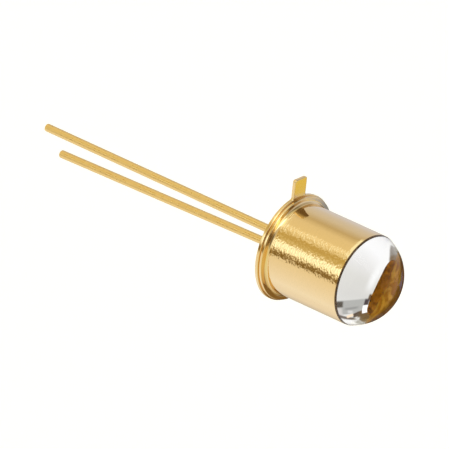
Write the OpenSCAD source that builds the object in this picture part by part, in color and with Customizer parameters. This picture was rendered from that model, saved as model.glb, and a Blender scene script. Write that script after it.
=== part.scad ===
// Infrared emitter: a semiconductor die on a metal header, under a gold plated can with a fused glass dome.
// Lengths are in millimetres and angles in degrees. Z = 0 is the seat under the header's flange,
// +Z is the optical axis towards the lens, and the isolated lead stands on +X.

/* [Can] */
// Outside diameter of the can's wall
can_d = 4.70; // [4.2:0.05:5.6]
// Height of the can's rim above the seat
can_h = 4.74; // [3.6:0.02:7]
// Thickness of the sheet that the can is drawn from
can_wall = 0.16; // [0.12:0.01:0.3]
// Width of the can's welded flange outside its wall
can_flange_w = 0.33; // [0.25:0.01:0.6]
// Radius of the outer fillet between the can's wall and its flange
can_fillet_r = 0.16; // [0.08:0.01:0.24]
// Radius of the bend at the can's mouth, on the side that faces the header
can_bend_r = 0.13; // [0.05:0.01:0.3]
// Radius of the rounded outer edge of the rim, which the glass leaves bare
rim_round_r = 0.02; // [0.01:0.005:0.1]

/* [Lens] */
// Height of the dome's apex above the rim
dome_rise = 1.665; // [1.2:0.005:2.1]
// Depth of the plug that the lens fills the can's bore with, below the rim
lens_depth = 0.84; // [0.2:0.02:1.5]

/* [Header] */
// Thickness of the header's flange and tab
header_flange_t = 0.18; // [0.12:0.01:0.35]
// Reach of the header's flange outside the can's flange
header_lip = 0.075; // [0.02:0.005:0.2]
// Radius of the rounded edges of both flanges
flange_edge_r = 0.04; // [0.01:0.005:0.06]
// Height of the raised platform's top above the seat
platform_h = 0.95; // [0.75:0.05:1.4]
// Radial clearance between the platform and the can's bore
platform_gap = 0.10; // [0.05:0.01:0.25]
// Radius of the platform's rounded top edge
platform_round_r = 0.15; // [0.05:0.01:0.2]
// Thickness of the sheet in the platform's wall and top
header_wall = 0.25; // [0.15:0.01:0.3]
// Radius of the bend under the header, where the glass begins
header_bend_r = 0.12; // [0.05:0.01:0.2]

/* [Index tab] */
// Length of the tab beyond the header's flange
tab_len = 0.98; // [0.6:0.02:1.3]
// Width of the tab
tab_w = 0.90; // [0.6:0.02:1.2]
// Angle of the tab before the isolated lead
tab_angle = 45; // [0:5:90]
// Radius of the tab's outer corners
tab_corner_r = 0.13; // [0.05:0.01:0.25]
// Radius of the fillets at the tab's root
tab_root_r = 0.12; // [0.05:0.01:0.2]

/* [Leads] */
// Diameter of each lead
lead_d = 0.41; // [0.38:0.01:0.55]
// Depth of the neck by which the leads are thinner inside the glass
lead_neck = 0.01; // [0.005:0.005:0.02]
// Distance between the leads' centres at the header
lead_pitch = 2.54; // [2:0.02:2.7]
// Length of the isolated lead below the seat
lead_len = 15.18; // [6:0.02:30]
// How much further down the case lead reaches
case_extra_len = 0.32; // [0:0.02:1]
// Lean of the isolated lead below the seat, outwards
isolated_lean = 0.60; // [0.5:0.02:3]
// Direction in which the isolated lead leans, as a turn from +X
isolated_lean_turn = 13; // [0:1:90]
// Lean of the case lead below the seat
case_lean = 1.18; // [0.5:0.02:3]
// Direction in which the case lead leans, as a turn from +X
case_lean_turn = 90; // [45:1:135]
// Radius of the worn edge at the lead's cut end
lead_tip_r = 0.06; // [0.01:0.01:0.12]
// Height of the isolated lead's post above the platform
post_h = 0.45; // [0.2:0.05:0.8]
// Diameter of the glass sealed hole round the isolated lead
eyelet_d = 0.95; // [0.8:0.05:1.1]

/* [Die and wire] */
// Side of the square emitter chip
chip_side = 0.38; // [0.25:0.01:0.6]
// Thickness of the emitter chip
chip_t = 0.20; // [0.1:0.01:0.3]
// Thickness of the die attach layer
attach_t = 0.03; // [0.02:0.005:0.06]
// Width of the die attach layer that shows round the chip
attach_margin = 0.05; // [0.02:0.01:0.12]
// Diameter of the bond wire
wire_d = 0.04; // [0.025:0.005:0.06]
// Rise of the bond wire's loop over the line between its ends
wire_rise = 0.28; // [0.15:0.01:0.45]
// Diameter of the flattened bond at each end of the wire
bond_d = 0.11; // [0.08:0.01:0.16]
// Thickness of the flattened bond
bond_t = 0.035; // [0.03:0.005:0.06]

/* [Hidden] */
$fn = 128;

gold = [0.84, 0.66, 0.29];
clear_glass = [0.90, 0.93, 0.94, 0.35];
seal_glass = [0.36, 0.42, 0.40];
solder_grey = [0.62, 0.61, 0.58];
die_grey = [0.25, 0.25, 0.28];

// How far a cutting shape passes the face that it cuts
overcut = 0.5;

can_r = can_d / 2;
bore_r = can_r - can_wall;
can_flange_r = can_r + can_flange_w;
can_seat_z = header_flange_t;
can_flange_top_z = can_seat_z + can_wall;

dome_foot_r = can_r - rim_round_r;
dome_r = (dome_foot_r * dome_foot_r + dome_rise * dome_rise) / (2 * dome_rise);
dome_centre_z = can_h + dome_rise - dome_r;
lens_back_z = can_h - lens_depth;

header_flange_r = can_flange_r + header_lip;
platform_r = bore_r - platform_gap;
cavity_r = platform_r - header_wall;
cavity_top_z = platform_h - header_wall;
glass_base_z = header_bend_r;

lead_r = lead_d / 2;
core_r = lead_r - lead_neck;
core_lap = lead_r / 4;
lead_x = lead_pitch / 2;
post_top_z = platform_h + post_h;

chip_base_z = platform_h + attach_t;
chip_top_z = chip_base_z + chip_t;
bond_reach = sqrt(pow(lead_x, 2) + pow(post_top_z - chip_top_z, 2));
bond_slope = atan2(post_top_z - chip_top_z, lead_x);
wire_bend_r = (pow(bond_reach / 2, 2) + pow(wire_rise, 2)) / (2 * wire_rise);
wire_half_angle = asin(bond_reach / 2 / wire_bend_r);

// Waste outside a rounded corner at the origin, for material that lies towards -X and -Y before the flips
module corner_waste(r, flip_x = 0, flip_y = 0) {
    mirror([flip_x, 0]) mirror([0, flip_y])
        translate([-r, -r])
            difference() {
                square(r + overcut);
                circle(r);
            }
}

// Filling of an inner corner at the origin, between walls along +X and +Y
module inner_fillet(r) {
    difference() {
        square(r);
        translate([r, r]) circle(r);
    }
}

// Section of the header: a flange round a cup that opens downwards
module header_section() {
    difference() {
        union() {
            square([header_flange_r, header_flange_t]);
            square([platform_r, platform_h]);
        }
        translate([0, -overcut]) square([cavity_r, cavity_top_z + overcut]);
        translate([header_flange_r, 0]) corner_waste(flange_edge_r, 0, 1);
        translate([header_flange_r, header_flange_t]) corner_waste(flange_edge_r);
        translate([platform_r, platform_h]) corner_waste(platform_round_r);
        translate([cavity_r, 0]) corner_waste(header_bend_r, 1, 1);
    }
}

// Outline of the index tab along +X, with round corners and fillets that run into the flange's edge
module tab_outline() {
    tip_x = header_flange_r + tab_len;
    root_y = tab_w / 2 + tab_root_r;
    root_x = sqrt(pow(header_flange_r + tab_root_r, 2) - root_y * root_y);
    touch = header_flange_r / (header_flange_r + tab_root_r);
    inner_x = header_flange_r - can_flange_w;
    difference() {
        translate([inner_x, -tab_w / 2]) square([tip_x - inner_x, tab_w]);
        translate([tip_x, tab_w / 2]) corner_waste(tab_corner_r);
        translate([tip_x, -tab_w / 2]) corner_waste(tab_corner_r, 0, 1);
    }
    for (side = [0, 1])
        mirror([0, side])
            difference() {
                polygon([[inner_x, 0], [root_x, 0], [root_x, root_y], [root_x * touch, root_y * touch]]);
                translate([root_x, root_y]) circle(tab_root_r);
            }
}

// Stamped header with its index tab and the eyelet hole for the isolated lead
module header() {
    color(gold)
        difference() {
            union() {
                rotate_extrude() header_section();
                rotate([0, 0, -tab_angle]) linear_extrude(header_flange_t) tab_outline();
            }
            translate([lead_x, 0, 0]) cylinder(d = eyelet_d, h = platform_h + overcut);
        }
}

// Glass that fills the header's cup and its eyelet hole, with both leads sealed in it
module glass_seal() {
    color(seal_glass)
        difference() {
            union() {
                translate([0, 0, glass_base_z]) cylinder(r = cavity_r, h = cavity_top_z - glass_base_z);
                translate([lead_x, 0, glass_base_z]) cylinder(d = eyelet_d, h = platform_h - glass_base_z);
            }
            for (x = [lead_x, -lead_x])
                translate([x, 0, -overcut]) cylinder(r = core_r, h = platform_h + 2 * overcut);
        }
}

// Round wire from z = 0 down, with a worn edge at its cut end
module lead_wire(len) {
    mirror([0, 0, 1])
        rotate_extrude()
            difference() {
                square([lead_r, len]);
                translate([lead_r, len]) corner_waste(lead_tip_r);
            }
}

// Lead with a thinner core in the glass, and a wire that leans from the seat down
module leaning_lead(top_z, len, lean, turn) {
    translate([0, 0, -core_lap]) cylinder(r = core_r, h = core_lap + top_z);
    rotate([0, 0, turn]) rotate([0, -lean, 0]) lead_wire(len / cos(lean));
}

// Lead through the eyelet, which ends as a post above the platform
module isolated_lead() {
    color(gold)
        translate([lead_x, 0, 0]) leaning_lead(post_top_z, lead_len, isolated_lean, isolated_lean_turn);
}

// Lead that ends against the underside of the platform
module case_lead() {
    len = lead_len + case_extra_len;
    color(gold)
        translate([-lead_x, 0, 0]) leaning_lead(cavity_top_z, len, case_lean, case_lean_turn);
}

module die_attach() {
    side = chip_side + 2 * attach_margin;
    color(solder_grey)
        translate([-side / 2, -side / 2, platform_h]) cube([side, side, attach_t]);
}

module emitter_chip() {
    color(die_grey)
        translate([-chip_side / 2, -chip_side / 2, chip_base_z]) cube([chip_side, chip_side, chip_t]);
}

// Bond wire: an arc in the XZ plane from the chip's top to the post, flattened at both ends
module bond_wire() {
    color(gold) {
        translate([0, 0, chip_top_z]) cylinder(d = bond_d, h = bond_t);
        translate([lead_x, 0, post_top_z]) cylinder(d = bond_d, h = bond_t);
        translate([lead_x / 2, 0, (chip_top_z + post_top_z) / 2 + bond_t / 2])
            rotate([90, -bond_slope, 0])
                translate([0, wire_rise - wire_bend_r, 0])
                    rotate([0, 0, 90 - wire_half_angle])
                        rotate_extrude(angle = 2 * wire_half_angle)
                            translate([wire_bend_r, 0]) circle(d = wire_d);
    }
}

// Section of the can: a tube with a rounded rim and a flange turned outwards at its mouth
module cap_section() {
    difference() {
        union() {
            translate([bore_r, can_seat_z]) square([can_wall, can_h - can_seat_z]);
            translate([bore_r, can_seat_z]) square([can_flange_r - bore_r, can_wall]);
            translate([can_r, can_flange_top_z]) inner_fillet(can_fillet_r);
        }
        translate([can_r, can_h]) corner_waste(rim_round_r);
        translate([can_flange_r, can_flange_top_z]) corner_waste(flange_edge_r);
        translate([can_flange_r, can_seat_z]) corner_waste(flange_edge_r, 0, 1);
        translate([bore_r, can_seat_z]) corner_waste(can_bend_r, 1, 1);
    }
}

module cap() {
    color(gold)
        rotate_extrude() cap_section();
}

// Lens: a dome whose foot covers the rim, over a plug that fills the bore and has a flat back
module lens() {
    color(clear_glass)
        rotate_extrude() {
            intersection() {
                translate([0, dome_centre_z]) circle(dome_r);
                translate([0, can_h]) square([dome_r, dome_rise]);
            }
            translate([0, lens_back_z]) square([bore_r, lens_depth]);
        }
}

header();
glass_seal();
isolated_lead();
case_lead();
die_attach();
emitter_chip();
bond_wire();
cap();
lens();
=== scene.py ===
import math

import bmesh
import bpy
from mathutils import Matrix, Vector


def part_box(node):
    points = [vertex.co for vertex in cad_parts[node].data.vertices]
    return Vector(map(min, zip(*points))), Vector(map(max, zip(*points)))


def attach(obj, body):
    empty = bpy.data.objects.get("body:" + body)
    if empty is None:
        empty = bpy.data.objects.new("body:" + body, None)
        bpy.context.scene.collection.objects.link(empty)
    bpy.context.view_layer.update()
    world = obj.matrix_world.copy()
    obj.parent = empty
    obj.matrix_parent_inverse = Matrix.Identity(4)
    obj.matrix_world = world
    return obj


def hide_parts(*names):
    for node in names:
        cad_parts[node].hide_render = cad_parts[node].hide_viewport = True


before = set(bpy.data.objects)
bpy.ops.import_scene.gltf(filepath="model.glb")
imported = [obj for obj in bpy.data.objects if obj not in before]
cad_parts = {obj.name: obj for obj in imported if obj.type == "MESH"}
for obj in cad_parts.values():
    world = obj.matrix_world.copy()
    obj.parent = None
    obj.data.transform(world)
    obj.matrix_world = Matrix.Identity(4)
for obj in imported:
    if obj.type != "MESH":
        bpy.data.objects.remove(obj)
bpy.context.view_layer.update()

# Lengths are metres in the frame's axes: +Z is the optical axis, +X points to the isolated lead.
MM = 0.001
UM = 0.001 * MM

# Sizes that the solids share with this script
CAN_R = 2.35 * MM
CAN_WALL = 0.16 * MM
CAN_FILLET_R = 0.16 * MM
CAN_BEND_R = 0.13 * MM
RIM_ROUND_R = 0.02 * MM
FLANGE_EDGE_R = 0.04 * MM
HEADER_FLANGE_T = 0.18 * MM
HEADER_WALL = 0.25 * MM
HEADER_BEND_R = 0.12 * MM
PLATFORM_GAP = 0.10 * MM
PLATFORM_ROUND_R = 0.15 * MM
TAB_W = 0.90 * MM
TAB_LEN = 0.98 * MM
TAB_ANGLE = math.radians(-45)
TAB_CORNER_R = 0.13 * MM
TAB_ROOT_R = 0.12 * MM
LEAD_R = 0.205 * MM
LEAD_NECK = 0.01 * MM
LEAD_X = 1.27 * MM
LEAD_TIP_R = 0.06 * MM
ISOLATED_LEAN = math.radians(0.6)
ISOLATED_LEAN_TURN = math.radians(13)
CASE_LEAN = math.radians(1.18)
CASE_LEAN_TURN = math.radians(90)
LEAD_LEN = 15.18 * MM
CASE_LEAD_LEN = 15.50 * MM
EYELET_R = 0.475 * MM

# Places read from the frame
RIM_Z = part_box("cap")[1].z
CAN_SEAT_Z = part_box("cap")[0].z
CAN_FLANGE_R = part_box("cap")[1].x
APEX_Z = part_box("lens")[1].z
LENS_BACK_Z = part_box("lens")[0].z
PLATFORM_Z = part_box("header")[1].z
POST_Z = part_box("isolated_lead")[1].z
CASE_TOP_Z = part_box("case_lead")[1].z
BORE_R = CAN_R - CAN_WALL
HEADER_FLANGE_R = -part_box("header")[0].x
PLATFORM_R = BORE_R - PLATFORM_GAP
CAVITY_R = PLATFORM_R - HEADER_WALL

# The photo's camera, in degrees and in pixels of its square frame.
# SEAT_PX is where the axis passes the middle of the header's flange
PHOTO_PX = 449
PX_PER_MM = 20.55
SEAT_PX = (292.28, 246.26)
VIEW_TILT = math.radians(56.5)
AXIS_SLOPE = math.radians(24.72)
LEAD_TURN = math.radians(76.7)
CAMERA_DISTANCE = 0.36
CLIP_RANGE = 10
SENSOR_MM = 36

# Directions of the photo in the frame: up across the axis, towards the viewer across the axis
AXIS = Vector((0, 0, 1))
ACROSS_UP = Vector((math.cos(LEAD_TURN), -math.sin(LEAD_TURN), 0))
ACROSS_NEAR = Vector((math.sin(LEAD_TURN), math.cos(LEAD_TURN), 0))
TO_CAMERA = math.cos(VIEW_TILT) * AXIS + math.sin(VIEW_TILT) * ACROSS_NEAR
ALONG = math.sin(VIEW_TILT) * AXIS - math.cos(VIEW_TILT) * ACROSS_NEAR
PICTURE_RIGHT = math.sin(AXIS_SLOPE) * ACROSS_UP + math.cos(AXIS_SLOPE) * ALONG
PICTURE_UP = math.cos(AXIS_SLOPE) * ACROSS_UP - math.sin(AXIS_SLOPE) * ALONG

# How far the glass is let into the metal, so that the two surfaces meet with no air between them
GLASS_LAP = 0.004 * MM
# Depth below the rim to which the dark oxide of the glass joint shows on the can's wall
OXIDE_H = 0.05 * MM
# Height below which the bore's colour goes over to a painted shade of its deep part, and half the length of
# that change
DEEP_Z = 3.55 * MM
DEEP_SOFT = 0.07 * MM
# Slight inward taper of the can's end, in degrees, which catches a bright line beside the rim
TAPER_ANGLE = 5.5
TAPER_BEND_R = 3.6 * MM
# Width of the strip beside a round in which the shading turns, so that the face past it stays flat
TURN_STRIP = 0.008 * MM
# Length over which the shading of the can's wall turns into its fillet
WALL_TURN_H = 0.4 * MM

# Steps of the small rounds, the can's oxide, the dome's profile, and the turned can and wires
ROUND_STEPS = 8
OXIDE_STEPS = 2
LENS_STEPS = 96
TURN_STEPS = 288
WIRE_STEPS = 64
# Points closer than this become one, and edges that bend by more degrees than this are shaded sharp
MERGE_DIST = 1e-9
SHARP_ANGLE = 40


# Mesh helpers
def arc(centre, radius, start, end, steps=ROUND_STEPS):
    """Points (r, z) on an arc from the angle start to the angle end, in degrees."""
    angles = [math.radians(start + (end - start) * i / steps) for i in range(steps + 1)]
    return [(centre[0] + radius * math.cos(a), centre[1] + radius * math.sin(a)) for a in angles]


def cap_arc(base_r, base_z, rise, steps):
    """Points from the foot of a spherical cap to its pole on the axis."""
    radius = (base_r ** 2 + rise ** 2) / (2 * rise)
    centre_z = base_z + rise - radius
    foot = math.degrees(math.asin((base_z - centre_z) / radius))
    points = arc((0, centre_z), radius, foot, 90, steps)
    return points[:-1] + [(0, base_z + rise)]


def mesh_object(name, verts, faces):
    mesh = bpy.data.meshes.new(name)
    mesh.from_pydata(verts, [], faces)
    tidy = bmesh.new()
    tidy.from_mesh(mesh)
    bmesh.ops.remove_doubles(tidy, verts=tidy.verts, dist=MERGE_DIST)
    bmesh.ops.recalc_face_normals(tidy, faces=tidy.faces)
    tidy.to_mesh(mesh)
    tidy.free()
    mesh.shade_smooth()
    mesh.set_sharp_from_angle(angle=math.radians(SHARP_ANGLE))
    obj = bpy.data.objects.new(name, mesh)
    bpy.context.scene.collection.objects.link(obj)
    return obj


def loft(name, rings, close_rings=False):
    """Joins rings of equally many points with quads. A ring of one point is the pole of a fan."""
    verts, starts = [], []
    for ring in rings:
        starts.append(len(verts))
        verts.extend(ring)
    count = max(len(ring) for ring in rings)
    pairs = list(zip(range(len(rings) - 1), range(1, len(rings))))
    if close_rings:
        pairs.append((len(rings) - 1, 0))
    faces = []
    for a, b in pairs:
        for i in range(count):
            j = (i + 1) % count
            corners = []
            for ring, k in ((a, i), (a, j), (b, j), (b, i)):
                index = starts[ring] + (k if len(rings[ring]) > 1 else 0)
                if index not in corners:
                    corners.append(index)
            faces.append(corners)
    return mesh_object(name, verts, faces)


def ring_points(radius, z, angles):
    """A level ring with a point at each angle, or the one point of a pole."""
    if radius == 0:
        return [(0, 0, z)]
    return [(radius * math.cos(a), radius * math.sin(a), z) for a in angles]


def lathe(name, profile, closed, steps=TURN_STEPS):
    angles = [2 * math.pi * i / steps for i in range(steps)]
    return loft(name, [ring_points(r, z, angles) for r, z in profile], closed)


def quad(name, corners):
    return mesh_object(name, corners, [(0, 1, 2, 3)])


def bake_modifiers(obj):
    graph = bpy.context.evaluated_depsgraph_get()
    baked = bpy.data.meshes.new_from_object(obj.evaluated_get(graph))
    obj.modifiers.clear()
    obj.data = baked


# Pieces
def make_cap():
    top_z = CAN_SEAT_Z + CAN_WALL
    profile = [(BORE_R, RIM_Z)]
    taper_h = TAPER_BEND_R * math.sin(math.radians(TAPER_ANGLE))
    oxide_angle = math.degrees(math.asin((taper_h - OXIDE_H) / TAPER_BEND_R))
    bend_centre = (CAN_R - TAPER_BEND_R, RIM_Z - taper_h)
    profile += arc(bend_centre, TAPER_BEND_R, TAPER_ANGLE, oxide_angle, OXIDE_STEPS)
    profile += arc(bend_centre, TAPER_BEND_R, oxide_angle, 0)[1:]
    flat_r = (CAN_R + CAN_FILLET_R, CAN_FLANGE_R - FLANGE_EDGE_R)
    profile += [(CAN_R, RIM_Z - taper_h - TURN_STRIP), (CAN_R, top_z + CAN_FILLET_R + WALL_TURN_H)]
    profile += arc((flat_r[0], top_z + CAN_FILLET_R), CAN_FILLET_R, 180, 270)
    profile += [(flat_r[0] + TURN_STRIP, top_z), (flat_r[1] - TURN_STRIP, top_z)]
    profile += arc((flat_r[1], top_z - FLANGE_EDGE_R), FLANGE_EDGE_R, 90, 0)
    profile += arc((flat_r[1], CAN_SEAT_Z + FLANGE_EDGE_R), FLANGE_EDGE_R, 0, -90)
    profile += arc((BORE_R + CAN_BEND_R, CAN_SEAT_Z + CAN_BEND_R), CAN_BEND_R, 270, 180)
    profile += [(BORE_R, LENS_BACK_Z)]
    return lathe("cap_shell", profile, closed=True)


def make_lens():
    plug_r = BORE_R + GLASS_LAP
    foot_r = CAN_R - RIM_ROUND_R
    foot_z = RIM_Z - GLASS_LAP
    profile = [(0, LENS_BACK_Z), (plug_r, LENS_BACK_Z), (plug_r, foot_z), (foot_r, foot_z)]
    profile += cap_arc(foot_r, RIM_Z, APEX_Z - RIM_Z, LENS_STEPS)
    return lathe("lens_dome", profile, closed=False)


def tab_outline():
    """Outline of the flange with its tab along +X, as points and their outward normals."""
    flange_r = HEADER_FLANGE_R
    tip_x = flange_r + TAB_LEN
    half_w = TAB_W / 2
    root_y = half_w + TAB_ROOT_R
    root_x = math.sqrt((flange_r + TAB_ROOT_R) ** 2 - root_y ** 2)
    root_angle = math.degrees(math.atan2(root_y, root_x))

    def stretch(centre, radius, start, end, steps):
        sign = 1 if end > start else -1
        points = arc(centre, radius, start, end, steps)
        angles = [math.radians(start + (end - start) * i / steps) for i in range(steps + 1)]
        return [(p, (sign * math.cos(a), sign * math.sin(a))) for p, a in zip(points, angles)]

    corner_x = tip_x - TAB_CORNER_R
    corner_y = half_w - TAB_CORNER_R
    upper = stretch((corner_x, corner_y), TAB_CORNER_R, 0, 90, ROUND_STEPS)
    upper += stretch((root_x, root_y), TAB_ROOT_R, 270, 180 + root_angle, ROUND_STEPS)
    lower = [((x, -y), (nx, -ny)) for (x, y), (nx, ny) in reversed(upper)]
    rest = stretch((0, 0), flange_r, root_angle, 360 - root_angle, TURN_STEPS)
    return upper + rest[1:-1] + lower


def make_header():
    outline = tab_outline()
    turn = Matrix.Rotation(TAB_ANGLE, 2)

    def outline_ring(inset, z):
        points = [turn @ Vector((x - inset * nx, y - inset * ny)) for (x, y), (nx, ny) in outline]
        return [(p.x, p.y, z) for p in points]

    angles = [math.atan2(y, x) for x, y, _ in outline_ring(0, 0)]

    def round_rings(profile):
        return [ring_points(r, z, angles) for r, z in profile]

    edge = FLANGE_EDGE_R
    top = HEADER_FLANGE_T
    ceiling_z = PLATFORM_Z - HEADER_WALL
    rings = round_rings([(0, ceiling_z), (CAVITY_R, ceiling_z)])
    rings += round_rings(arc((CAVITY_R + HEADER_BEND_R, HEADER_BEND_R), HEADER_BEND_R, 180, 270))
    rings += [outline_ring(edge + TURN_STRIP, 0)]
    rings += [outline_ring(edge - x, z) for x, z in arc((0, edge), edge, 270, 360)]
    rings += [outline_ring(edge - x, z) for x, z in arc((0, top - edge), edge, 0, 90)]
    rings += [outline_ring(edge + TURN_STRIP, top)]
    rings += round_rings([(PLATFORM_R, top)])
    shoulder = (PLATFORM_R - PLATFORM_ROUND_R, PLATFORM_Z - PLATFORM_ROUND_R)
    rings += round_rings(arc(shoulder, PLATFORM_ROUND_R, 0, 90))
    rings += round_rings([(0, PLATFORM_Z)])
    header = loft("header_shell", rings)
    drill_top = 2 * PLATFORM_Z
    drill_profile = [(0, 0), (EYELET_R, 0), (EYELET_R, drill_top), (0, drill_top)]
    drill = lathe("eyelet_drill", drill_profile, False, WIRE_STEPS)
    drill.data.transform(Matrix.Translation((LEAD_X, 0, 0)))
    cut = header.modifiers.new("eyelet", "BOOLEAN")
    cut.operation = "DIFFERENCE"
    cut.solver = "EXACT"
    cut.object = drill
    bake_modifiers(header)
    bpy.data.objects.remove(drill)
    return header


def make_lead(name, x, top_z, depth, lean, lean_turn):
    """A thinner core inside the glass and a wire that leans from the seat down."""
    length = depth / math.cos(lean)
    core_r = LEAD_R - LEAD_NECK
    profile = [(0, -length)]
    profile += arc((LEAD_R - LEAD_TIP_R, -length + LEAD_TIP_R), LEAD_TIP_R, -90, 0)
    profile += [(LEAD_R, -length + LEAD_TIP_R + TURN_STRIP), (LEAD_R, 0)]
    profile += [(core_r, 0), (core_r, top_z), (0, top_z)]
    lead = lathe(name, profile, False, WIRE_STEPS)
    hinge = Vector((math.sin(lean_turn), -math.cos(lean_turn), 0))
    turn = Matrix.Rotation(lean, 3, hinge)
    for vert in lead.data.vertices:
        if vert.co.z < top_z / 2:
            vert.co = turn @ vert.co
    lead.data.transform(Matrix.Translation((x, 0, 0)))
    return lead


# Node helpers
def coordinates(tree, kind):
    return tree.nodes.new("ShaderNodeTexCoord").outputs[kind]


def part_along(tree, place, direction):
    """How far a place or a direction reaches along the given direction."""
    dot = tree.nodes.new("ShaderNodeVectorMath")
    dot.operation = "DOT_PRODUCT"
    dot.inputs[1].default_value = direction
    tree.links.new(place, dot.inputs[0])
    return dot.outputs["Value"]


def math_node(tree, operation, first, second=None):
    node = tree.nodes.new("ShaderNodeMath")
    node.operation = operation
    for value, socket in ((first, node.inputs[0]), (second, node.inputs[1])):
        if isinstance(value, (int, float)):
            socket.default_value = value
        elif value is not None:
            tree.links.new(value, socket)
    return node.outputs[0]


def step_up(tree, value, middle, soft, low=0.0):
    """Rises softly from low to 1 where the value passes the middle."""
    node = tree.nodes.new("ShaderNodeMapRange")
    node.interpolation_type = "SMOOTHSTEP"
    node.inputs["From Min"].default_value = middle - soft
    node.inputs["From Max"].default_value = middle + soft
    node.inputs["To Min"].default_value = low
    tree.links.new(value, node.inputs["Value"])
    return node.outputs["Result"]


def window(tree, value, limits, soft):
    """1 between the limits and 0 outside them."""
    rise = step_up(tree, value, limits[0], soft)
    fall = step_up(tree, value, limits[1], soft)
    return math_node(tree, "SUBTRACT", rise, fall)


def lay_over(tree, below, color, weight):
    """Lays a colour over another one, by a weight from 0 to 1."""
    mix = tree.nodes.new("ShaderNodeMix")
    mix.data_type = "RGBA"
    for value, socket in ((below, mix.inputs["A"]), (color, mix.inputs["B"])):
        if isinstance(value, tuple):
            socket.default_value = (*value, 1)
        else:
            tree.links.new(value, socket)
    tree.links.new(weight, mix.inputs["Factor"])
    return mix.outputs["Result"]


def noise(tree, size_mm, detail, squeeze=1):
    """Noise of a given grain, which may be squeezed along the axis."""
    scale = tree.nodes.new("ShaderNodeVectorMath")
    scale.operation = "MULTIPLY"
    scale.inputs[1].default_value = (1, 1, squeeze)
    tree.links.new(coordinates(tree, "Object"), scale.inputs[0])
    texture = tree.nodes.new("ShaderNodeTexNoise")
    texture.inputs["Scale"].default_value = 1 / (size_mm * MM)
    texture.inputs["Detail"].default_value = detail
    tree.links.new(scale.outputs["Vector"], texture.inputs["Vector"])
    return texture.outputs["Fac"]


def bump(tree, height, depth_um, target):
    node = tree.nodes.new("ShaderNodeBump")
    node.inputs["Strength"].default_value = 1.0
    node.inputs["Distance"].default_value = depth_um * UM
    tree.links.new(height, node.inputs["Height"])
    tree.links.new(node.outputs["Normal"], target)
    return node


# Materials
WHITE = (1.0, 1.0, 1.0)
GOLD = (0.92, 0.68, 0.36)
LEAD_GOLD = (0.90, 0.62, 0.24)
# The plating's grain: how dark its low parts are, how far its roughness spreads, its squeeze on the can
GRAIN_SHADE = 0.94
GRAIN_SPREAD = 0.4
GRAIN_SQUEEZE = 2
# Share of the can's radius at which the rough side starts, its softness, and the grain's strength elsewhere
ROUGH_EDGE = 0.925
ROUGH_SOFT = 0.025
ROUGH_ELSEWHERE = 0.14
# Octaves of a fine grain and of blotches, and the middle of what the noise gives
GRAIN_DETAIL = 1
BLOTCH_DETAIL = 4
NOISE_MIDDLE = 0.5
# The dome's glass: refraction, strength of its surface gloss, length and depth of its waves
LENS_IOR = 1.48
LENS_GLOSS = 0.15
LENS_WAVE_MM = 0.9
LENS_WAVE_UM = 1


def new_material(name):
    material = bpy.data.materials.new(name)
    material.use_nodes = True
    tree = material.node_tree
    return material, tree, tree.nodes["Principled BSDF"]


def gold_material(name, color, roughness, grain_mm, bump_um, rough_side=None):
    """Gold plating: a satin mirror whose fine grain breaks up the edges of what it reflects.

    With a rough side, the grain is full on that side of the axis and slight elsewhere."""
    material, tree, shader = new_material(name)
    shader.inputs["Metallic"].default_value = 1.0
    grain = noise(tree, grain_mm, GRAIN_DETAIL, GRAIN_SQUEEZE if rough_side else 1)
    shade = tuple(GRAIN_SHADE * c for c in color)
    tree.links.new(lay_over(tree, shade, color, grain), shader.inputs["Base Color"])
    spread = tree.nodes.new("ShaderNodeMapRange")
    spread.inputs["To Min"].default_value = (1 - GRAIN_SPREAD) * roughness
    spread.inputs["To Max"].default_value = (1 + GRAIN_SPREAD) * roughness
    tree.links.new(grain, spread.inputs["Value"])
    tree.links.new(spread.outputs["Result"], shader.inputs["Roughness"])
    relief = bump(tree, grain, bump_um, shader.inputs["Normal"])
    if rough_side:
        side = part_along(tree, coordinates(tree, "Object"), rough_side / CAN_R)
        strength = step_up(tree, side, ROUGH_EDGE, ROUGH_SOFT, ROUGH_ELSEWHERE)
        tree.links.new(strength, relief.inputs["Strength"])
    return material


def lens_material():
    """Clear glass with a weak surface gloss and the faint waviness of a fire polished face."""
    material, tree, shader = new_material("lens_glass")
    shader.inputs["Base Color"].default_value = (*WHITE, 1)
    shader.inputs["Roughness"].default_value = 0.0
    shader.inputs["IOR"].default_value = LENS_IOR
    shader.inputs["Specular Tint"].default_value = (LENS_GLOSS, LENS_GLOSS, LENS_GLOSS, 1)
    shader.inputs["Transmission Weight"].default_value = 1.0
    waves = noise(tree, LENS_WAVE_MM, GRAIN_DETAIL)
    bump(tree, waves, LENS_WAVE_UM, shader.inputs["Normal"])
    return material


def plain_material(name, low, high, grain_mm, roughness, metallic=0.0, gloss=0.5, soft=0.2, deep=None):
    """A surface whose colour wanders between two tones, and may go over deep in the can to a third one, a
    painted shade of that recess.
    """
    material, tree, shader = new_material(name)
    shader.inputs["Metallic"].default_value = metallic
    shader.inputs["Roughness"].default_value = roughness
    shader.inputs["Specular IOR Level"].default_value = gloss
    blotches = step_up(tree, noise(tree, grain_mm, BLOTCH_DETAIL), NOISE_MIDDLE, soft)
    color = lay_over(tree, low, high, blotches)
    # Deep in the can the colour goes over to a painted shade
    if deep:
        height = part_along(tree, coordinates(tree, "Object"), AXIS)
        lit = step_up(tree, height, DEEP_Z, DEEP_SOFT)
        color = lay_over(tree, deep, color, lit)
    tree.links.new(color, shader.inputs["Base Color"])
    return material


def set_material(obj, material):
    obj.data.materials.clear()
    obj.data.materials.append(material)


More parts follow.
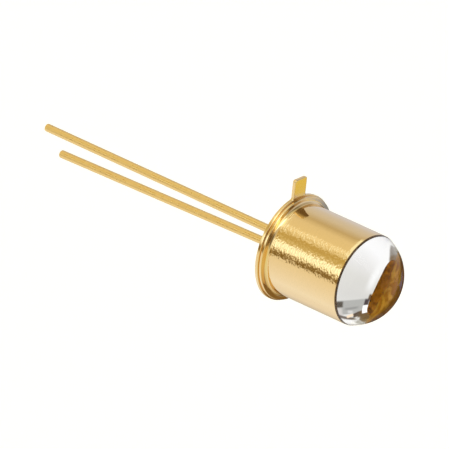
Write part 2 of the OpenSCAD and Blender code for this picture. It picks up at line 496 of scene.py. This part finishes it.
# Studio
# Colours of the room round the optical axis, as they are seen towards the leads,
# by the share of a turn from straight behind the can over its top
LEAD_SIDE = [
    (0.00, (0.62, 0.60, 0.58)),
    (0.10, (0.70, 0.73, 0.86)),
    (0.20, (0.71, 0.70, 0.69)),
    (0.26, (0.61, 0.53, 0.35)),
    (0.31, (0.85, 0.77, 0.54)),
    (0.41, (0.92, 0.83, 0.55)),
    (0.45, (0.58, 0.45, 0.15)),
    (0.49, (0.76, 0.66, 0.36)),
    (0.62, (0.92, 0.88, 0.75)),
    (0.79, (1.00, 1.05, 1.15)),
    (0.88, (0.90, 0.89, 0.86)),
    (0.95, (0.63, 0.57, 0.46)),
    (1.00, (0.62, 0.60, 0.58)),
]
# Colours of the room towards the lens, as they are seen through it
LENS_SIDE = [
    (0.00, (0.75, 0.74, 0.70)),
    (0.05, (0.72, 0.71, 0.68)),
    (0.12, (0.80, 0.80, 0.78)),
    (0.22, (0.92, 0.92, 0.90)),
    (0.76, (0.90, 0.90, 0.89)),
    (0.82, (1.00, 1.00, 1.00)),
    (0.91, (1.00, 1.00, 1.00)),
    (0.97, (0.83, 0.82, 0.80)),
    (1.00, (0.75, 0.74, 0.70)),
]
# Colours of the room towards the lens, as the metal and the dome's face mirror them
MIRROR_SIDE = [
    (0.00, (0.70, 0.74, 0.85)),
    (0.11, (0.70, 0.75, 0.90)),
    (0.14, (0.48, 0.47, 0.48)),
    (0.20, (0.45, 0.43, 0.38)),
    (0.25, (0.30, 0.30, 0.25)),
    (0.28, (0.60, 0.60, 0.46)),
    (0.34, (0.80, 0.77, 0.53)),
    (0.50, (0.67, 0.62, 0.53)),
    (0.56, (0.84, 0.81, 0.60)),
    (0.72, (0.88, 0.91, 0.64)),
    (0.86, (0.74, 0.64, 0.42)),
    (0.92, (0.38, 0.30, 0.14)),
    (0.95, (0.35, 0.27, 0.14)),
    (1.00, (0.70, 0.74, 0.85)),
]
# Height along the axis at which the room's lead side goes over into its lens side, and the softness of that
HORIZON = -0.05
HORIZON_SOFT = 0.2
# Where the count of turns starts over, below and in front, where almost nothing in the room lies across it
TURN_START = -0.38
# What stands in the room: share of a turn from straight behind the can (from, to) at height 0,
# height along the axis (from, to) with -1 towards the leads and 1 towards the lens,
# lean of the sides in turns per height, softness of the edges across and along, colour.
# First what the metal and the dome's face mirror
MIRROR_ROOM = [
    ("small lamp over the can", (0.383, 0.395), (-1.1, 0.10), 0, (0.010, 0.10), (1.10, 1.03, 0.76)),
    ("tall lamp in front", (0.503, 0.548), (-1.1, 0.10), 0, (0.014, 0.10), (1.13, 1.25, 1.20)),
    ("dark post beside it", (0.566, 0.603), (-1.1, 0.10), 0, (0.014, 0.10), (0.25, 0.17, 0.05)),
    ("lamp beside the camera", (0.355, 0.412), (-0.05, 1.3), 0, (0.010, 0.20), (2.2, 2.4, 2.3)),
    ("dark room far behind", (-0.065, 0.07), (-0.40, 0.36), 0, (0.02, 0.04), (0.07, 0.045, 0.025)),
    ("lamp over the can", (0.25, 0.425), (-0.48, -0.20), 0, (0.02, 0.02), (1.15, 1.25, 1.15)),
    ("lamp in front of the can", (0.50, 0.55), (-0.50, -0.20), 0, (0.01, 0.02), (1.6, 1.7, 1.6)),
    ("lamp above the lens", (0.19, 0.30), (0.875, 0.975), 0, (0.02, 0.02), (1.9, 2.0, 1.8)),
    ("warm ceiling past the camera", (-0.36, -0.15), (0.85, 0.98), 0, (0.01, 0.02), (0.80, 0.62, 0.22)),
    ("dark room in front", (0.465, 0.585), (0.57, 1.1), 0, (0.02, 0.08), (0.17, 0.15, 0.12)),
    ("dark room along the axis", (-1, 1), (0.98, 1.1), 0, (0.01, 0.008), (0.30, 0.21, 0.08)),
    ("dark room above", (0.205, 0.265), (0.40, 0.70), 0, (0.012, 0.05), (0.18, 0.15, 0.10)),
]
# Then what is seen through the lens
LENS_ROOM = [
    ("broad lamp over the camera", (0.30, 0.59), (0.33, 0.93), 0, (0.03, 0.05), (2.5, 2.3, 2.0)),
    ("pale room behind the lens", (-0.12, 0.02), (0.72, 0.78), 0, (0.03, 0.03), (0.98, 0.98, 0.97)),
    ("grey wall", (0.117, 0.178), (0.38, 0.775), -0.08, (0.003, 0.012), (0.47, 0.47, 0.45)),
    ("shade on the wall", (0.146, 0.156), (0.55, 0.70), -0.08, (0.005, 0.03), (0.33, 0.33, 0.32)),
    ("pale foot of the wall", (0.145, 0.185), (0.40, 0.51), -0.08, (0.006, 0.02), (0.68, 0.65, 0.62)),
    ("dark corner", (0.120, 0.142), (0.40, 0.525), -0.08, (0.004, 0.015), (0.11, 0.095, 0.08)),
    ("brown edge of the wall", (0.038, 0.064), (0.776, 0.85), 0, (0.004, 0.008), (0.14, 0.08, 0.04)),
    ("dark edge of the wall", (0.058, 0.088), (0.752, 0.795), 0, (0.004, 0.008), (0.08, 0.06, 0.065)),
    ("brown room beside the foot", (0.232, 0.40), (0.69, 0.87), -0.16, (0.006, 0.02), (0.15, 0.085, 0.035)),
    ("dark gap", (0.232, 0.262), (0.64, 0.72), -0.16, (0.004, 0.012), (0.115, 0.08, 0.06)),
    ("lamp", (0.086, 0.134), (0.748, 0.83), 0, (0.004, 0.006), (1.2, 1.2, 1.2)),
    ("grey room beside the foot", (0.426, 0.50), (0.60, 0.69), -0.36, (0.01, 0.03), (0.43, 0.43, 0.40)),
    ("pale streak", (0.414, 0.430), (0.60, 0.71), -0.36, (0.005, 0.02), (0.78, 0.78, 0.77)),
    ("dark band", (0.105, 0.128), (0.42, 0.66), 0.08, (0.006, 0.03), (0.17, 0.135, 0.11)),
    ("pale spot", (0.112, 0.126), (0.585, 0.645), 0, (0.005, 0.015), (0.72, 0.71, 0.69)),
    ("warm lamp", (0.244, 0.261), (0.555, 0.645), -0.18, (0.004, 0.012), (1.05, 0.84, 0.62)),
    ("white room below the dome", (0.180, 0.232), (0.455, 0.60), 0, (0.006, 0.015), (1.1, 1.1, 1.08)),
    ("grey room past the dome's top", (-0.70, -0.49), (0.61, 0.90), 0.46, (0.012, 0.03), (0.28, 0.25, 0.22)),
    ("brown edge past the dome's top", (-0.66, -0.49), (0.765, 0.90), 0.46, (0.02, 0.02), (0.20, 0.13, 0.07)),
]
# Cards that the flange, the tab and the dome's face mirror: name, limits up across the axis, limits along it
CARDS = [
    ("mirror_card", (-4.5 * MM, 4.5 * MM), (5.5 * MM, 10.5 * MM)),
    ("low_mirror_card", (-13 * MM, -4.5 * MM), (7.5 * MM, 11.3 * MM)),
]
# How far behind the axis the cards stand
CARD_BACK = 12 * MM
# The cards' grey, from dark to pale between two heights
CARD_DARK_GREY = (0.25, 0.32, 0.52)
CARD_PALE_GREY = (0.69, 0.76, 1.10)
CARD_FADE = (7.5 * MM, 8.7 * MM)
# Their gold top and their brown low side, which is a painted shadow, each past a slanted edge: colour,
# way across the edge, place of the edge along that way, and its softness
CARD_GOLD = (0.83, 0.70, 0.18)
GOLD_WAY = AXIS + 1.087 * ACROSS_UP
GOLD_EDGE = 11.56 * MM
GOLD_SOFT = 0.03 * MM
CARD_SHADE_BROWN = (0.24, 0.15, 0.05)
BROWN_WAY = ACROSS_UP - 0.4 * AXIS
BROWN_EDGE = -1.5 * MM
BROWN_SOFT = 0.2 * MM
# The floor: half its width, drop below the longer lead's tip, grey, roughness and glow towards the camera
FLOOR_HALF = 0.5
FLOOR_DROP = 25 * MM
FLOOR_GREY = 0.85
FLOOR_ROUGHNESS = 0.9
FLOOR_GLOW = 0.5


def room_ramp(tree, stops, ring):
    """Colours round the axis. The first and the last stop are the ramp's own ends."""
    ramp = tree.nodes.new("ShaderNodeValToRGB")
    elements = ramp.color_ramp.elements
    for position, _ in stops[1:-1]:
        elements.new(position)
    for element, (_, color) in zip(elements, stops):
        element.color = (*color, 1)
    tree.links.new(ring, ramp.inputs["Fac"])
    return ramp.outputs["Color"]


def make_world():
    """White to the camera, and a studio to the metal that mirrors it and to the rays through the lens."""
    world = bpy.data.worlds.new("studio")
    bpy.context.scene.world = world
    world.use_nodes = True
    tree = world.node_tree
    way = coordinates(tree, "Generated")
    height = part_along(tree, way, AXIS)
    angle = math_node(tree, "ARCTAN2", part_along(tree, way, ACROSS_UP), part_along(tree, way, -ACROSS_NEAR))
    share = math_node(tree, "DIVIDE", angle, 2 * math.pi)
    turn = math_node(tree, "WRAP", share, TURN_START + 1)
    turn.node.inputs[2].default_value = TURN_START
    ring = math_node(tree, "FRACT", turn)
    upper = step_up(tree, height, HORIZON, HORIZON_SOFT)
    lead_side = room_ramp(tree, LEAD_SIDE, ring)

    def room(side, things):
        color = lay_over(tree, lead_side, room_ramp(tree, side, ring), upper)
        for _, turns, heights, lean, (turn_soft, height_soft), tone in things:
            shift = math_node(tree, "MULTIPLY", height, lean)
            leaning = math_node(tree, "SUBTRACT", turn, shift)
            across = window(tree, leaning, turns, turn_soft)
            along = window(tree, height, heights, height_soft)
            color = lay_over(tree, color, tone, math_node(tree, "MULTIPLY", across, along))
        return color

    path = tree.nodes.new("ShaderNodeLightPath")
    mirrored = room(MIRROR_SIDE, MIRROR_ROOM)
    seen_through = room(LENS_SIDE, LENS_ROOM)
    color = lay_over(tree, mirrored, seen_through, path.outputs["Is Transmission Ray"])
    color = lay_over(tree, color, WHITE, path.outputs["Is Camera Ray"])
    tree.links.new(color, tree.nodes["Background"].inputs["Color"])


def floor_material():
    material, tree, shader = new_material("floor_white")
    shader.inputs["Base Color"].default_value = (FLOOR_GREY, FLOOR_GREY, FLOOR_GREY, 1)
    shader.inputs["Roughness"].default_value = FLOOR_ROUGHNESS
    shader.inputs["Emission Color"].default_value = (*WHITE, 1)
    path = tree.nodes.new("ShaderNodeLightPath")
    glow = math_node(tree, "MULTIPLY", path.outputs["Is Camera Ray"], FLOOR_GLOW)
    tree.links.new(glow, shader.inputs["Emission Strength"])
    return material


def make_floor():
    z = -CASE_LEAD_LEN - FLOOR_DROP
    half = FLOOR_HALF
    floor = quad("floor", [(-half, -half, z), (half, -half, z), (half, half, z), (-half, half, z)])
    set_material(floor, floor_material())
    floor.visible_glossy = False
    floor.visible_transmission = False


def card_material():
    """Glowing grey that is paler higher up, with a gold top and a brown low side that is a painted shadow."""
    material, tree, shader = new_material("mirror_card")
    tree.nodes.remove(shader)
    place = coordinates(tree, "Object")
    fade = tree.nodes.new("ShaderNodeMapRange")
    fade.inputs["From Min"].default_value = CARD_FADE[0]
    fade.inputs["From Max"].default_value = CARD_FADE[1]
    tree.links.new(part_along(tree, place, AXIS), fade.inputs["Value"])
    grey = lay_over(tree, CARD_DARK_GREY, CARD_PALE_GREY, fade.outputs["Result"])
    in_gold = step_up(tree, part_along(tree, place, GOLD_WAY), GOLD_EDGE, GOLD_SOFT)
    above_card_shade = step_up(tree, part_along(tree, place, BROWN_WAY), BROWN_EDGE, BROWN_SOFT)
    color = lay_over(tree, grey, CARD_GOLD, in_gold)
    # The brown low side is a painted shadow
    color = lay_over(tree, CARD_SHADE_BROWN, color, above_card_shade)
    glow = tree.nodes.new("ShaderNodeEmission")
    tree.links.new(color, glow.inputs["Color"])
    tree.links.new(glow.outputs["Emission"], tree.nodes["Material Output"].inputs["Surface"])
    return material


def make_card(name, across, heights, material):
    """A flat card behind the can, which only reflections see."""
    corners = []
    for u, a in ((0, 0), (1, 0), (1, 1), (0, 1)):
        corners.append(across[u] * ACROSS_UP - CARD_BACK * ACROSS_NEAR + heights[a] * AXIS)
    card = quad(name, corners)
    set_material(card, material)
    card.visible_camera = False
    card.visible_diffuse = False
    card.visible_transmission = False
    card.visible_shadow = False


def make_camera():
    data = bpy.data.cameras.new("photo_camera")
    data.sensor_width = SENSOR_MM
    data.lens = PX_PER_MM * (CAMERA_DISTANCE / MM) * SENSOR_MM / PHOTO_PX
    camera = bpy.data.objects.new("photo_camera", data)
    bpy.context.scene.collection.objects.link(camera)
    centre_px = (PHOTO_PX - 1) / 2
    right_mm = (SEAT_PX[0] - centre_px) / PX_PER_MM
    down_mm = (SEAT_PX[1] - centre_px) / PX_PER_MM
    seat = Vector((0, 0, HEADER_FLANGE_T / 2))
    target = seat - PICTURE_RIGHT * right_mm * MM + PICTURE_UP * down_mm * MM
    place = target + TO_CAMERA * CAMERA_DISTANCE
    camera.matrix_world = Matrix((
        (PICTURE_RIGHT.x, PICTURE_UP.x, TO_CAMERA.x, place.x),
        (PICTURE_RIGHT.y, PICTURE_UP.y, TO_CAMERA.y, place.y),
        (PICTURE_RIGHT.z, PICTURE_UP.z, TO_CAMERA.z, place.z),
        (0, 0, 0, 1),
    ))
    data.clip_start = CAMERA_DISTANCE / CLIP_RANGE
    data.clip_end = CAMERA_DISTANCE * CLIP_RANGE
    bpy.context.scene.camera = camera


# Assembly
def add_piece(obj, node, material):
    set_material(obj, material)
    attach(obj, "root")
    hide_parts(node)


def mark_cap(cap, oxide, bore, joint, flange):
    """Gives the metal under the dome's foot its dark oxide, the bore and the ring round the glass plug a
    diffuse golden brown that is a painted reflection of the light inside the gold can, and the flange a
    smooth finish."""
    index = {}
    for material in (oxide, bore, joint, flange):
        index[material.name] = len(cap.data.materials)
        cap.data.materials.append(material)
    fillet_z = CAN_SEAT_Z + CAN_WALL + CAN_FILLET_R
    for face in cap.data.polygons:
        middle = face.center
        if math.hypot(middle.x, middle.y) < BORE_R + GLASS_LAP:
            material = bore if middle.z < LENS_BACK_Z else joint
        elif middle.z > RIM_Z - OXIDE_H:
            material = oxide
        elif middle.z < fillet_z:
            material = flange
        else:
            continue
        face.material_index = index[material.name]


make_camera()
make_world()
make_floor()
card_finish = card_material()
for card_name, card_across, card_heights in CARDS:
    make_card(card_name, card_across, card_heights, card_finish)

can_gold = gold_material("can_gold", GOLD, roughness=0.06, grain_mm=0.17, bump_um=14, rough_side=ACROSS_NEAR)
header_gold = gold_material("header_gold", GOLD, roughness=0.09, grain_mm=0.12, bump_um=1)
lead_gold = gold_material("lead_gold", LEAD_GOLD, roughness=0.30, grain_mm=0.2, bump_um=4)
# The bore's diffuse golden brown is a painted reflection of the light inside the gold can, in blotches, with
# painted shade deep down
bore_gold = plain_material(
    "bore_gold", (0.62, 0.27, 0.015), (1.0, 0.60, 0.07),
    grain_mm=0.09, roughness=0.6, gloss=0.0, soft=0.12, deep=(0.30, 0.125, 0.01),
)
# The bore round the glass plug: the same painted reflection, darker
joint_gold = plain_material(
    "joint_gold", (0.26, 0.095, 0.005), (0.62, 0.26, 0.02),
    grain_mm=0.05, roughness=0.6, gloss=0.0, soft=0.12,
)
oxide = plain_material(
    "seal_oxide", (0.10, 0.055, 0.025), (0.19, 0.11, 0.05),
    grain_mm=0.12, roughness=0.5, gloss=0.2,
)

cap = make_cap()
add_piece(cap, "cap", can_gold)
mark_cap(cap, oxide, bore_gold, joint_gold, header_gold)
add_piece(make_header(), "header", header_gold)
isolated_lead = make_lead("isolated_lead_wire", LEAD_X, POST_Z, LEAD_LEN, ISOLATED_LEAN, ISOLATED_LEAN_TURN)
add_piece(isolated_lead, "isolated_lead", lead_gold)
case_lead = make_lead("case_lead_wire", -LEAD_X, CASE_TOP_Z, CASE_LEAD_LEN, CASE_LEAN, CASE_LEAN_TURN)
add_piece(case_lead, "case_lead", lead_gold)
add_piece(make_lens(), "lens", lens_material())

# The pieces that keep their solids
solid_finishes = {
    "glass_seal": plain_material(
        "seal_glass", (0.10, 0.13, 0.12), (0.16, 0.20, 0.18), grain_mm=0.4, roughness=0.12,
    ),
    "die_attach": plain_material(
        "solder", (0.45, 0.44, 0.42), (0.62, 0.61, 0.58), grain_mm=0.06, roughness=0.5,
    ),
    "emitter_chip": plain_material(
        "die", (0.05, 0.05, 0.06), (0.09, 0.09, 0.10), grain_mm=0.15, roughness=0.2,
    ),
    "bond_wire": plain_material(
        "wire_gold", (0.85, 0.62, 0.28), (0.95, 0.72, 0.34), grain_mm=0.05, roughness=0.15, metallic=1.0,
    ),
}
for node, finish in solid_finishes.items():
    set_material(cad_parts[node], finish)

bpy.context.scene.view_settings.view_transform = "Standard"
